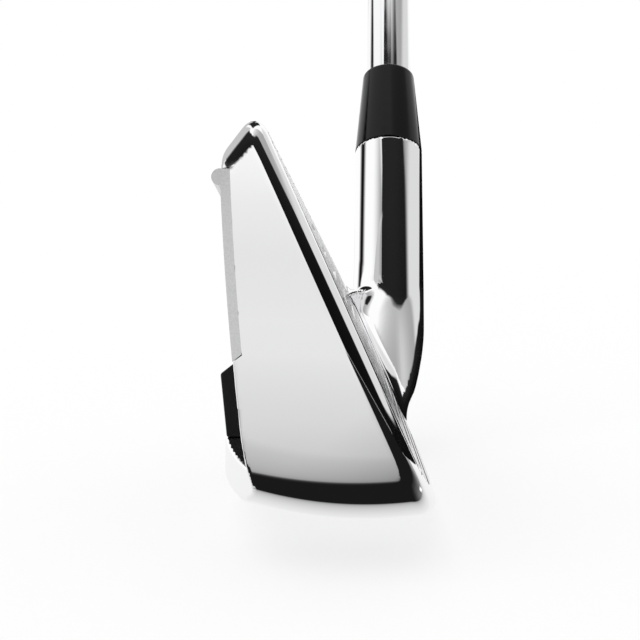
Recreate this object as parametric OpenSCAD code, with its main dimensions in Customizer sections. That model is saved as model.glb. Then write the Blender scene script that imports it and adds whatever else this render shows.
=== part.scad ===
// Iron golf club, right-handed, held at address with its sole on the ground.
// A hollow cast head with its hosel, a welded face plate, a bonded rear plate and a black
// muscle bar, a ferrule, a stepped steel shaft and a rubber grip with its end cap.
// +X is the target side, -Y the toe, +Y the heel, +Z up. The origin is on the shaft axis,
// in the middle of the stretch that the hands hold.

/* [Club] */
// Length along the shaft axis, from the ground to the end of the grip cap
club_length = 965; // [930:5:1000]
// Angle between the shaft axis and the ground
lie_angle = 62; // [60:0.5:64]
// Angle between the face and the vertical
loft_angle = 25.5; // [23:0.5:28]
// Distance from the end of the grip cap to the middle of the hands
hold_drop = 110; // [80:5:140]

/* [Hosel] */
// Outside diameter of the hosel
hosel_d = 14; // [13.4:0.1:14.6]
// Distance from the ground to the top of the hosel, along the shaft axis
hosel_top = 65.7; // [62:0.1:70]
// Depth of the hosel bore
bore_depth = 34; // [30:0.5:36]
// Thickness of the adhesive between the shaft tip and the bore
glue_gap = 0.1; // [0.08:0.01:0.2]
// Radius of the hollow between the hosel and the blade
neck_round = 5; // [4.5:0.1:5.5]
// Slope of the bend that leads the hosel into the blade
neck_bend = 0.17; // [0.14:0.01:0.2]

/* [Blade] */
// Distance that the leading edge sits behind the front of the hosel
face_offset = 4; // [3:0.1:5]
// Distance from the shaft axis on the ground to the end of the toe
toe_reach = 80.5; // [77:0.5:84]
// Radius of the toe in the front view
toe_radius = 80; // [70:1:95]
// Height of the topline ridge at the toe
toe_height = 58.7; // [57.5:0.1:59.5]
// Fall of the topline from the toe to the heel
topline_slope = 20.5; // [19:0.5:22]
// Slope of the rear bevel of the topline
topline_bevel = 60; // [56:1:64]
// Height where the front and back planes are set out from the sole
face_foot = 7; // [6.5:0.1:7.5]
// Distance from the face to the back, at the height of the foot of the face
blade_depth = 24.4; // [23.8:0.1:25.4]
// Lean of the back, top further rearward
back_lean = 5.7; // [5.2:0.1:6.2]
// Turn of the back seen from above, thinner toward the heel
back_turn = 6; // [5:0.5:7]
// Radius of the edge around the face
edge_round = 2.6; // [2:0.1:2.8]
// Radius of the edge between the toe and the topline
crown_round = 3.4; // [2.8:0.1:4]
// Radius of the edge between the toe and the sole
toe_round = 6.5; // [5:0.5:8]
// Radius of the sole from toe to heel
sole_rocker = 118; // [105:1:130]
// Radius of the sole from front to back
sole_camber = 52; // [45:1:60]

/* [Face] */
// Thickness of the face plate
plate_t = 2.2; // [1.8:0.1:2.6]
// Distance from the outline of the face to the edge of the plate
plate_inset = 3; // [2.8:0.1:3.4]
// Width of the ledge that the plate is welded on
plate_ledge = 1.6; // [1.2:0.1:2.2]
// Number of score lines
groove_count = 12; // [10:1:13]
// Distance between score lines
groove_pitch = 3.5; // [3.3:0.05:3.6]
// Width of a score line
groove_w = 0.8; // [0.6:0.05:0.9]

/* [Back] */
// Height of the upper edge of the rear plate at the toe
badge_top = 49; // [48.2:0.1:49.4]
// Radius of the raised rim along the upper edge of the rear plate
badge_rim = 1.05; // [0.8:0.05:1.15]
// Thickness of the rear plate
badge_t = 1.2; // [1.2:0.1:1.5]
// Height of the sloped lower edge of the rear plate, at the bar's toe end
badge_foot = 24.1; // [24:0.1:24.8]
// Thickness of the adhesive tape under the rear plate and under the muscle bar
tape_t = 0.2; // [0.15:0.05:0.3]
// Gap around the rear plate
badge_gap = 0.15; // [0.1:0.05:0.25]
// Thickness of the back wall under the rear plate
wall_t = 1.6; // [1.4:0.1:1.8]
// Height of the ledge behind the sole that carries the muscle bar
flange_height = 12.7; // [12:0.1:13.4]
// Distance from the back to the rear edge of the sole
flange_depth = 5.7; // [5.3:0.1:6.1]
// Radius of the rear edge of the sole, seen from above
flange_radius = 85; // [75:1:95]
// Height of the sloped top of the muscle bar, at its toe end
bar_top = 25.9; // [25:0.1:26.3]
// Length of the muscle bar
bar_length = 36; // [34:0.5:38]
// Fall of the rear plate's lower edge and the bar's top, toward the heel
bar_slope = 8; // [6:0.5:10]

/* [Shaft] */
// Diameter of the parallel tip
tip_d = 9.4; // [9:0.1:9.8]
// Diameter of the butt
butt_d = 15.24; // [14.8:0.02:15.6]
// Wall thickness of the tube at the tip
tip_wall = 0.75; // [0.6:0.05:1]
// Wall thickness of the tube at the butt
butt_wall = 0.38; // [0.3:0.02:0.5]
// Length of the plain tip below the first step
tip_length = 240; // [220:5:260]
// Number of steps
step_count = 13; // [11:1:14]
// Distance between steps
step_pitch = 31; // [28:0.5:32]
// Length of the weight pin in the tip
pin_length = 22; // [15:1:28]

/* [Ferrule] */
// Length of the ferrule
ferrule_length = 18.8; // [17:0.2:22]
// Thickness of the ferrule's wall at its upper shoulder
ferrule_lip = 0.8; // [0.6:0.05:1.2]

/* [Grip] */
// Length of the grip with its cap
grip_length = 268; // [260:1:272]
// Diameter of the grip at its mouth
grip_mouth_d = 18.2; // [17.8:0.1:19]
// Diameter of the grip at the cap
grip_butt_d = 26.6; // [25.5:0.1:28]
// Thickness of the tape under the grip
grip_tape_t = 0.3; // [0.2:0.05:0.4]
// Thickness of the end cap
cap_t = 6; // [5:0.5:8]
// Diameter of the vent hole in the cap
vent_d = 3.2; // [2.6:0.1:4]

/* [Hidden] */
$fn = 64;

// The shaft axis leaves the ground at the head's own reference point
axis = [0, cos(lie_angle), sin(lie_angle)];
hold_at = axis * (club_length - hold_drop);
hosel_r = hosel_d / 2;
tip_r = tip_d / 2;
bore_r = tip_r + glue_gap;
tip_at = hosel_top - bore_depth;
shaft_end = club_length - cap_t;
grip_foot = club_length - grip_length;
butt_r = butt_d / 2;
tape_r = butt_r + grip_tape_t;

// Set-out points of the blade's surfaces
face_n = [cos(loft_angle), 0, sin(loft_angle)];
face_at = [hosel_r - face_offset, 0, face_foot];
ridge_y = -73;
back_at = [face_at.x - blade_depth, -78, face_foot];
back_n = [-cos(back_lean) * cos(back_turn), cos(back_lean) * sin(back_turn), -sin(back_lean)];
toe_at = [0, toe_radius - toe_reach, 30];
rock_y = -33;
camber_x = -8;
ridge_at = [face_at.x - tan(loft_angle) * (toe_height - face_foot), ridge_y, toe_height];
ridge_dir = [tan(loft_angle) * tan(topline_slope), 1, -tan(topline_slope)];
bevel_dir = [-cos(topline_bevel), 0, -sin(topline_bevel)];
top_raw = cross(ridge_dir, bevel_dir);
top_n = top_raw / norm(top_raw) * sign(top_raw.z);
crest_dir = cross(top_n, back_n);
crest_slope = atan(abs(crest_dir.z / crest_dir.y));
rear_x = back_at.x - flange_depth;
rear_y = rock_y - 11;
heel_at = [rear_x + 1.6, -12, 0];
heel_n = [-0.725, 0.689, 0];
front_radius = 22;
front_z = 23.3;
bar_mid = rock_y - 1;
bar_toe = bar_mid - bar_length / 2;

// Rounded corner between two surfaces, outside and inside
function round_max(a, b, r) =
    min(-r, max(a, b)) + sqrt(pow(max(r + a, 0), 2) + pow(max(r + b, 0), 2));
function round_min(a, b, r) =
    max(r, min(a, b)) - sqrt(pow(max(r - a, 0), 2) + pow(max(r - b, 0), 2));

function ease(x, a, b) = let (t = min(1, max(0, (x - a) / (b - a)))) t * t * (3 - 2 * t);

// Distances of a point from the surfaces of the casting, negative inside the metal. The hosel
// bends toward the toe as it nears the sole, and the hollow of the neck runs out along the
// blade, more so the higher up
function sole_f(p) =
    let (a = (p.y - rock_y) / sole_rocker, b = (p.x - camber_x) / sole_camber)
    (a * a * sole_rocker / 2 + b * b * sole_camber / 2 - p.z) / sqrt(1 + a * a + b * b);
function toe_f(p) = norm([p.y - toe_at.y, p.z - toe_at.z]) - toe_radius;
function top_f(p) = (p - ridge_at) * top_n;
function face_f(p) = (p - face_at) * face_n;
function rear_f(p) = rear_x - 0.9 - p.x;
function heel_f(p) = (p - heel_at) * heel_n;
function hosel_f(p) = norm(p - (p * axis) * axis) - hosel_r;
function front_f(p) =
    p.z > front_z ? p.x - hosel_r
    : norm([p.x - hosel_r + front_radius, p.z - front_z]) - front_radius;
function blade_f(p, s) =
    let (rim = round_max(round_max(toe_f(p), s, toe_round), top_f(p), crown_round))
    round_max(round_max(round_max(rim, face_f(p), edge_round), rear_f(p), 0.9), heel_f(p), 3);
function casting_f(p) =
    let (s = sole_f(p), r = 2 * (1 - ease(p.z, 14, 26)), up = ease(p.z, 25, 31),
         w = max(0, 29 - 0.25 * p.x + 0.75 * sqrt(pow(p.x - 1.3, 2) + 0.5) - p.z),
         bend = 0.018 * w * w + neck_bend * (sqrt(w * w + 1.4) - sqrt(1.4)),
         neck = round_max(round_max(hosel_f(p + [0.1 * bend, bend, 0]), s, 5), front_f(p), r))
    round_min(blade_f(p, s), (1 - 0.78 * up) * neck, neck_round * (0.4 + 0.6 * up));

// Distance from a point inside the casting to its skin along a direction
function skin(o, d, a, fa, b, fb, n) =
    let (t = (a * fb - b * fa) / (fb - fa), f = casting_f(o + t * d))
    (n == 0 || abs(f) < 0.002) ? t
    : f < 0 ? skin(o, d, t, f, b, fb / 2, n - 1)
    : skin(o, d, a, fa / 2, t, f, n - 1);
function skin_at(o, d) = o + d * skin(o, d, 0, casting_f(o), 90, casting_f(o + 90 * d), 24);

// Directions around a section, closer together where the casting has its edges
turns = [each [for (i = [0:25]) -34 + i * 122 / 26],
         each [for (i = [0:13]) 88 + i * 34 / 14],
         each [for (i = [0:17]) 122 + i * 106 / 18],
         each [for (i = [0:5]) 228 + i * 24 / 6],
         each [for (i = [0:11]) 252 + i * 48 / 12],
         each [for (i = [0:11]) 300 + i * 26 / 12]];
turn_count = len(turns);

// Sections from the toe, along the blade, around the neck and up the hosel
toe_mid = [back_at.x + 6.7, -62, 26];
heel_mid = [back_at.x + 16.7, 0, 15];
neck_at = [0, 0, 40];
neck_t = neck_at * axis;
neck_drop = neck_at.z * cos(lie_angle);
rim_width = 10;
blade_rings = 15;
neck_rings = 20;
hosel_rings = [2, 5, hosel_top - neck_t];
function toe_dir(a, v) = [sin(a) * cos(v), -cos(a), sin(a) * sin(v)];
function toe_wall(d) =
    let (o = toe_mid - toe_at, a = d.y * d.y + d.z * d.z, b = o.y * d.y + o.z * d.z,
         c = o.y * o.y + o.z * o.z - toe_radius * toe_radius)
    toe_mid + d * (sqrt(b * b - a * c) - b) / a;
function rim_f(p) = max(face_f(p), top_f(p), sole_f(p), rear_f(p));
function rim_turn(v, lo, hi, n) =
    let (m = (lo + hi) / 2)
    n == 0 ? m
    : rim_f(toe_wall(toe_dir(m, v))) < 0 ? rim_turn(v, m, hi, n - 1) : rim_turn(v, lo, m, n - 1);
rims = [for (v = turns) rim_turn(v, 5, 85, 14)];
function toe_ring(s) =
    [for (k = [0:turn_count - 1])
     let (r = rims[k],
          a = s < 1 ? (r - rim_width) * s : s < 3 ? r + rim_width * (s - 2)
              : r + rim_width + (90 - r - rim_width) * (s - 3))
     skin_at(toe_mid, toe_dir(a, turns[k]))];
toe_rings = [0.4, 0.7, 0.9, each [for (i = [0:12]) 1 + i / 6], 3.35, 3.7, 4];
function blade_ring(i) =
    let (o = heel_mid + (toe_mid - heel_mid) * pow(1 - i / blade_rings, 1.6))
    [for (v = turns) skin_at(o, [cos(v), 0, sin(v)])];
function neck_ring(i) =
    let (s = i / neck_rings, a = s * lie_angle, up = [0, -sin(a), cos(a)],
         o = neck_at + [heel_mid.x * (1 - s), 0, 0]
             - up * ((neck_at.z - heel_mid.z) * (1 - s) + neck_drop * s))
    [for (v = turns) skin_at(o, [cos(v), 0, 0] + up * sin(v))];
function hosel_ring(t) =
    let (up = [0, -sin(lie_angle), cos(lie_angle)])
    [for (v = turns) skin_at(axis * t, [cos(v), 0, 0] + up * sin(v))];

module casting() {
    rings = [each [for (s = toe_rings) toe_ring(s)],
             each [for (i = [1:blade_rings]) blade_ring(i)],
             each [for (i = [1:neck_rings]) neck_ring(i)],
             each [for (t = hosel_rings) hosel_ring(neck_t + t)]];
    n = turn_count;
    last = len(rings) - 1;
    pts = [skin_at(toe_mid, [0, -1, 0]), each [for (r = rings) each r]];
    nose = [for (k = [0:n - 1]) [0, 1 + (k + 1) % n, 1 + k]];
    sides = [for (i = [0:last - 1]) for (k = [0:n - 1]) for (h = [0, 1])
             let (a = 1 + i * n, b = a + n, j = (k + 1) % n)
             h == 0 ? [a + k, a + j, b + j] : [a + k, b + j, b + k]];
    rim = [[for (k = [0:n - 1]) 1 + last * n + k]];
    polyhedron(pts, concat(nose, sides, rim));
}

// Frames: the head on the ground, a place on the shaft axis, the face and the back
module in_head() {
    translate(-hold_at) children();
}
module on_axis(t) {
    translate(axis * t - hold_at) rotate([lie_angle - 90, 0, 0]) children();
}
module on_face() {
    translate(face_at) rotate([0, -loft_angle, 0]) children();
}
module on_back() {
    translate(back_at) rotate([0, -back_lean, -back_turn]) children();
}

// Space inside the outline of the blade in the front view, drawn in by an inset
module outline(inset, heel) {
    intersection() {
        translate([-60, toe_at.y, toe_at.z]) rotate([0, 90, 0])
            cylinder(r = toe_radius - inset, h = 120, $fn = 240);
        translate([-60, rock_y, sole_rocker + 2]) rotate([0, 90, 0])
            cylinder(r = sole_rocker - inset, h = 120, $fn = 240);
        translate([-60, ridge_y, toe_height]) rotate([-topline_slope, 0, 0])
            translate([0, -60, -150 - inset]) cube([120, 220, 150]);
        translate([-60, -150, -10]) cube([120, 150 + heel, 120]);
    }
}

// Space under the rear bevel of the topline, drawn in by an inset
module under_bevel(inset) {
    u = ridge_dir / norm(ridge_dir);
    w = cross(top_n, u);
    o = ridge_at - top_n * inset;
    multmatrix([[w.x, u.x, top_n.x, o.x], [w.y, u.y, top_n.y, o.y], [w.z, u.z, top_n.z, o.z]])
        translate([-100, -100, -200]) cube([200, 300, 200]);
}

// Space under a line that falls toward the heel, from a height at a place along the blade
module under_line(y, z, slope) {
    translate([-80, y, z]) rotate([-slope, 0, 0]) translate([0, -80, -200])
        cube([160, 320, 200]);
}

// Space under the sloped joint between the rear plate and the muscle bar
module under_joint(z) {
    translate([back_at.x - 1.5, bar_toe, z]) rotate([-bar_slope, 0, 0]) rotate([0, -39, 0])
        translate([-80, -80, -160]) cube([160, 320, 160]);
}

// Place of the rear plate on the back, drawn in by a gap
module badge_space(gap) {
    difference() {
        intersection() {
            under_line(ridge_y, badge_top - gap, crest_slope);
            translate([-80, -150, 0]) cube([160, 132 - gap, 120]);
        }
        under_joint(badge_foot + gap);
    }
}

// Upright sweep that carries the rear edge of the sole and the muscle bar
module rear_sweep(extra, top) {
    r = flange_radius + extra;
    translate([rear_x + flange_radius, rear_y, 0]) rotate_extrude($fn = 240)
        polygon([[0, -30], [r - 3, -30], [r - 3, 3],
                 each [for (a = [-80:10:0]) [r - 3 + 3 * cos(a), 6 + 3 * sin(a)]],
                 [r + top, 60], [0, 60]]);
}

// What is taken off behind the back plane, over and around the ledge
module rear_cut() {
    difference() {
        on_back() translate([-60, -150, -60]) cube([60, 300, 160]);
        intersection() {
            rear_sweep(0, 0);
            translate([-80, -150, -20]) cube([160, 300, 20 + flange_height]);
        }
    }
}

// Hollow inside the head, closed in front by the plate
module hollow(front) {
    intersection() {
        outline(plate_inset + plate_ledge, -17 - plate_ledge);
        under_bevel(2.4);
        on_face() translate([-60, -150, -60]) cube([60 - plate_t + front, 300, 200]);
        on_back() translate([badge_t + tape_t + wall_t, -150, -60]) cube([80, 300, 200]);
    }
}

module head_body() {
    color([0.82, 0.82, 0.84]) difference() {
        in_head() casting();
        in_head() rear_cut();
        in_head() intersection() {
            outline(plate_inset, -17);
            on_face() translate([-plate_t, -150, -60]) cube([30, 300, 200]);
        }
        in_head() hollow(0.3);
        in_head() intersection() {
            on_back() translate([-0.5, -150, -60]) cube([0.5 + badge_t + tape_t, 300, 200]);
            badge_space(0);
        }
        on_axis(tip_at) cylinder(r = bore_r, h = bore_depth + 1);
    }
}

module face_plate() {
    color([0.78, 0.78, 0.8]) in_head() difference() {
        intersection() {
            outline(plate_inset, -17);
            on_face() translate([-plate_t, -150, -60]) cube([plate_t, 300, 200]);
        }
        on_face() for (i = [0:groove_count - 1])
            translate([0, -66, 2 + i * groove_pitch]) rotate([0, 45, 0])
                translate([-groove_w / 2, 0, -groove_w / 2])
                    cube([groove_w, max(8, 43 - max(0, i - 6) * 6.5), groove_w]);
    }
}

module rear_badge() {
    z = badge_top - badge_gap - badge_rim / cos(crest_slope);
    x = back_at.x - ((ridge_y - back_at.y) * back_n.y + (z - back_at.z) * back_n.z) / back_n.x;
    color([0.7, 0.7, 0.71]) in_head() intersection() {
        union() {
            on_back() translate([0, -150, -60]) cube([badge_t, 300, 200]);
            translate([x, ridge_y, z])
                rotate([0, acos(crest_dir.z / norm(crest_dir)), atan2(crest_dir.y, crest_dir.x)])
                    cylinder(r = badge_rim, h = 200, center = true, $fn = 32);
        }
        badge_space(badge_gap);
        outline(0.1, 0);
        under_bevel(0.3);
    }
}

module badge_tape() {
    color([0.85, 0.85, 0.8]) in_head() intersection() {
        on_back() translate([badge_t, -150, -60]) cube([tape_t, 300, 200]);
        badge_space(1);
        outline(1.5, 0);
        under_bevel(1.5);
    }
}

// Place of the muscle bar on the ledge, drawn in by an edge
module bar_space(edge) {
    intersection() {
        translate([-80, bar_toe + edge, flange_height]) cube([160, bar_length - 2 * edge, 60]);
        under_joint(bar_top - edge);
    }
}

module muscle_bar() {
    color([0.04, 0.04, 0.045]) in_head() intersection() {
        on_back() translate([-40 - tape_t, -150, -60]) cube([40, 300, 160]);
        bar_space(0);
        rear_sweep(-0.9, 6);
    }
}

module bar_tape() {
    color([0.1, 0.1, 0.1]) in_head() intersection() {
        on_back() translate([-tape_t, -150, -60]) cube([tape_t, 300, 160]);
        bar_space(2.2);
    }
}

module weight_space() {
    translate([-60, -66, -10]) cube([120, 40, 22]);
}

module sole_weight() {
    color([0.35, 0.35, 0.37]) in_head() intersection() {
        hollow(0);
        weight_space();
    }
}

module damping_core() {
    color([0.15, 0.15, 0.16]) in_head() difference() {
        intersection() {
            hollow(0);
            translate([-60, -150, -20]) cube([120, 300, 20 + bar_top]);
        }
        weight_space();
    }
}

module hosel_adhesive() {
    color([0.75, 0.7, 0.5]) on_axis(tip_at) difference() {
        cylinder(r = bore_r, h = bore_depth);
        translate([0, 0, -1]) cylinder(r = tip_r, h = bore_depth + 2);
    }
}

module tip_pin() {
    color([0.7, 0.55, 0.25]) on_axis(tip_at) cylinder(r = tip_r - tip_wall, h = pin_length);
}

module shaft() {
    rise = (butt_r - tip_r) / step_count;
    first = tip_at + tip_length;
    outer = [for (i = [0:step_count - 1]) for (h = [0, 1])
             [tip_r + rise * (i + h), first + step_pitch * i + 1.5 * h]];
    last = 2 * step_count - 1;
    inner = [for (i = [0:last])
             outer[last - i] - [butt_wall + (tip_wall - butt_wall) * i / last, 0]];
    color([0.8, 0.8, 0.82]) on_axis(0) rotate_extrude()
        polygon([[tip_r, tip_at], each outer, [butt_r, shaft_end],
                 [butt_r - butt_wall, shaft_end], each inner, [tip_r - tip_wall, tip_at]]);
}

module ferrule() {
    top_r = tip_r + ferrule_lip;
    color([0.02, 0.02, 0.022]) on_axis(hosel_top) rotate_extrude()
        polygon([[tip_r, 0], [hosel_r, 0], [top_r, ferrule_length - ferrule_lip],
                 each [for (a = [15:15:75]) [tip_r + ferrule_lip * cos(a),
                                             ferrule_length - ferrule_lip * (1 - sin(a))]],
                 [tip_r, ferrule_length]]);
}

module grip_tape() {
    color([0.75, 0.72, 0.65]) on_axis(grip_foot) difference() {
        cylinder(r = tape_r, h = shaft_end - grip_foot);
        translate([0, 0, -1]) cylinder(r = butt_r, h = grip_length);
    }
}

module grip() {
    h = shaft_end - grip_foot;
    m = grip_mouth_d / 2;
    b = grip_butt_d / 2;
    color([0.06, 0.06, 0.065]) on_axis(grip_foot) rotate_extrude()
        polygon([[tape_r, 0], [m - 0.6, 0], [m - 0.15, 0.35], [m, 1], [m + 0.3, 8],
                 [m + (b - m) * 0.82, h * 0.8], [b - 0.3, h - 6], [b, h], [tape_r, h]]);
}

module grip_cap() {
    b = grip_butt_d / 2;
    color([0.06, 0.06, 0.065]) on_axis(shaft_end) difference() {
        rotate_extrude()
            polygon([[0, 0], [b, 0], [b, cap_t - 3],
                     each [for (a = [15:15:75]) [b - 3 + 3 * cos(a), cap_t - 3 + 3 * sin(a)]],
                     [b - 3, cap_t], [0, cap_t]]);
        translate([0, 0, -1]) cylinder(d = vent_d, h = cap_t + 2);
    }
}

head_body();
face_plate();
rear_badge();
badge_tape();
muscle_bar();
bar_tape();
sole_weight();
damping_core();
hosel_adhesive();
tip_pin();
shaft();
ferrule();
grip_tape();
grip();
grip_cap();
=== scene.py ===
import math

import bmesh
import bpy
import numpy as np
from mathutils import Matrix, Vector


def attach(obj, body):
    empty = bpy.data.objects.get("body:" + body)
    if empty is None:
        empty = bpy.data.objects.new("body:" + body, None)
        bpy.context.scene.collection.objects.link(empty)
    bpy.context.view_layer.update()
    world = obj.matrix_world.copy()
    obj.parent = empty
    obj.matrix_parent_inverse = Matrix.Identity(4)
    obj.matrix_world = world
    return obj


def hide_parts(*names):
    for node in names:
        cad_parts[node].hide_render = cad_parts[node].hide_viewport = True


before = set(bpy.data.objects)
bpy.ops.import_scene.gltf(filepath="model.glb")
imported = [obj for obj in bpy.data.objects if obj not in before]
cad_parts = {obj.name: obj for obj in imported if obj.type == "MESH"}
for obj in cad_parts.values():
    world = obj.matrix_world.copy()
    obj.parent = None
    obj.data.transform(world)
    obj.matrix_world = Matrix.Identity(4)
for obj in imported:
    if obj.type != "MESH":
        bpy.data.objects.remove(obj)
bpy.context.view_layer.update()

# ---- Cast head -------------------------------------------------------------
# The hollow steel casting: toe, sole, topline, back and hosel in one piece.
# It is investment cast, ground, mirror polished and plated with nickel and
# chrome. Sizes are in millimetres from where the shaft axis meets the ground.
club_length, hold_drop = 965, 110
lie, loft = math.radians(62), math.radians(25.5)
axis = np.array((0, math.cos(lie), math.sin(lie)))
hold = axis * (club_length - hold_drop)
hosel_r, hosel_top, hosel_edge, bore_r, bore_foot = 7.0, 65.7, 0.35, 4.8, 31.7
face_offset, face_foot, face_edge = 4.0, 7.0, 2.6
face_at = np.array((hosel_r - face_offset, 0, face_foot))
face_normal = np.array((math.cos(loft), 0, math.sin(loft)))
plate_t, plate_inset, plate_end, plate_ledge, seam = 2.2, 3.0, -17.0, 1.6, 0.04
ridge_y, toe_height = -73.0, 58.7
topline_fall, bevel_fall = math.radians(20.5), math.radians(60)
ridge_at = np.array((face_at[0] - math.tan(loft) * (toe_height - face_foot),
                     ridge_y, toe_height))
ridge_run = np.array((math.tan(loft) * math.tan(topline_fall), 1, -math.tan(topline_fall)))
bevel_run = np.array((-math.cos(bevel_fall), 0, -math.sin(bevel_fall)))
bevel_normal = np.cross(ridge_run, bevel_run)
bevel_normal *= np.sign(bevel_normal[2]) / np.linalg.norm(bevel_normal)
blade_depth, back_y = 24.4, -78
back_at = np.array((face_at[0] - blade_depth, back_y, face_foot))
back_lean, back_turn = math.radians(5.7), math.radians(6)
back_normal = np.array((-math.cos(back_lean) * math.cos(back_turn),
                        math.cos(back_lean) * math.sin(back_turn), -math.sin(back_lean)))
crest_run = np.cross(bevel_normal, back_normal)
crest_fall = math.atan(abs(crest_run[2] / crest_run[1]))
toe_y, toe_z, toe_radius, toe_round, crown_round = -0.5, 30.0, 80.0, 6.5, 3.4
rock_y, rocker, outline_lift, camber_x, camber = -33.0, 118.0, 2, -8.0, 52.0
rear_x, rear_y, rear_radius = -27.1, -44.0, 85.0
ledge_z, ledge_edge, ledge_fillet = 12.7, 0.2, 0.6
rear_edge, rear_soft, rear_soft_y, rear_soft_z = 0.5, 2.5, (-71, -60), (14, 9)
heel_in, heel_y, heel_normal, heel_edge = 1.6, -12, (-0.725, 0.689), 3
# The neck's bend starts lowest at a fold near the middle, and higher behind than in front.
bend_top, bend_tilt, bend_fold, fold_x, fold_soft = 29.0, 0.25, 0.75, 1.3, 0.5
bend_curve, bend_slope, bend_soft, bend_lean = 0.018, 0.17, 1.4, 0.1
neck_foot, neck_front_r, neck_front_z, neck_sole = 23.3, 22, (14, 26), 5
neck_edge, saddle_z, saddle_draw, saddle_low, saddle_gain = 2, (25, 31), 0.78, 2, 3
badge_top, badge_depth, badge_end = 49.0, 1.4, -18.0
badge_rise, badge_rise_at = 0.17, (-1.4, -1.1)
joint_at, joint_normal = np.array((-22.9, -52, 24.1)), np.array((-0.629, 0.108, 0.770))
wall_t, hollow_inset, hollow_under, hollow_lap = 1.6, 4.6, 2.4, 0.3


def to_frame(points):
    """Millimetres about the foot of the shaft axis as metres in the CAD frame."""
    return (np.asarray(points) - hold) / 1000


def both(a, b, r):
    """Where two solids overlap, with the corner between them rounded off."""
    return (np.minimum(-r, np.maximum(a, b))
            + np.sqrt(np.maximum(r + a, 0) ** 2 + np.maximum(r + b, 0) ** 2))


def either(a, b, r):
    """Two solids joined, with a hollow fillet between them."""
    return (np.maximum(r, np.minimum(a, b))
            - np.sqrt(np.maximum(r - a, 0) ** 2 + np.maximum(r - b, 0) ** 2))


def ease(x, a, b):
    """Rises smoothly from 0 at a to 1 at b."""
    t = np.clip((x - a) / (b - a), 0, 1)
    return t * t * (3 - 2 * t)


def over_line(p, y, z, fall):
    """Distance above a line through y and z that falls toward the heel."""
    return (p[..., 2] - z) * math.cos(fall) + (p[..., 1] - y) * math.sin(fall)


def face_outline(p):
    """Distance outside the blade's outline in the front view."""
    _, y, z = np.moveaxis(p, -1, 0)
    return np.maximum.reduce([np.hypot(y - toe_y, z - toe_z) - toe_radius,
                              np.hypot(y - rock_y, z - rocker - outline_lift) - rocker,
                              over_line(p, ridge_y, toe_height, topline_fall)])


def head_field(p):
    """Distance outside the casting, negative in the metal."""
    x, y, z = np.moveaxis(p, -1, 0)
    a, b = (y - rock_y) / rocker, (x - camber_x) / camber
    sole = (a * a * rocker / 2 + b * b * camber / 2 - z) / np.sqrt(1 + a * a + b * b)
    face, back = (p - face_at) @ face_normal, (p - back_at) @ back_normal
    bevel = (p - ridge_at) @ bevel_normal
    toe = np.hypot(y - toe_y, z - toe_z) - toe_radius
    rim = both(both(toe, sole, toe_round), bevel, crown_round)
    heel = heel_normal[0] * (x - rear_x - heel_in) + heel_normal[1] * (y - heel_y)
    skin = both(both(rim, face, face_edge), heel, heel_edge)
    sweep = np.hypot(x - rear_x - rear_radius, y - rear_y) - rear_radius
    rear = either(back, both(sweep, z - ledge_z, ledge_edge), ledge_fillet)
    blade = both(skin, rear, rear_edge + rear_soft * ease(y, *rear_soft_y) * ease(z, *rear_soft_z))
    along = p @ axis
    off_axis = np.linalg.norm(p - along[..., None] * axis, axis=-1)
    fold = bend_fold * np.sqrt((x - fold_x) ** 2 + fold_soft)
    below = np.maximum(bend_top - bend_tilt * x + fold - z, 0)
    bend = (bend_curve * below ** 2
            + bend_slope * (np.sqrt(below ** 2 + bend_soft) - math.sqrt(bend_soft)))
    swept = p + np.stack([bend_lean * bend, bend, 0 * z], -1)
    off_swept = np.linalg.norm(swept - (swept @ axis)[..., None] * axis, axis=-1)
    under = np.hypot(x - hosel_r + neck_front_r, z - neck_foot) - neck_front_r
    front = np.where(z > neck_foot, x - hosel_r, under)
    neck = both(both(off_swept - hosel_r, sole, neck_sole), front,
                neck_edge - neck_edge * ease(z, *neck_front_z))
    high = ease(z, *saddle_z)
    joined = either(blade, (1 - saddle_draw * high) * neck, saddle_low + saddle_gain * high)
    head = both(joined, along - hosel_top, hosel_edge)
    outline = face_outline(p)
    recess = np.maximum.reduce([over_line(p, ridge_y, badge_top, crest_fall),
                                (joint_at - p) @ joint_normal, y - badge_end,
                                badge_rise * ease(outline, *badge_rise_at) - badge_depth - back])
    pocket = np.maximum.reduce([outline + plate_inset - seam, y - plate_end - seam,
                                -face - plate_t])
    hollow = np.maximum.reduce([outline + hollow_inset, y - plate_end + plate_ledge,
                                bevel + hollow_under, face + plate_t - hollow_lap,
                                back + badge_depth + wall_t])
    bore = np.maximum(off_axis - bore_r, bore_foot - along)
    return np.maximum.reduce([head, -recess, -pocket, -hollow, -bore])


def slope(field, p, eps=0.01):
    """Direction in which a field rises, as unit vectors."""
    g = np.stack([field(p + eps * e) - field(p - eps * e) for e in np.eye(3)], -1)
    return g / np.maximum(np.linalg.norm(g, axis=-1, keepdims=True), 1e-9)


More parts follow.
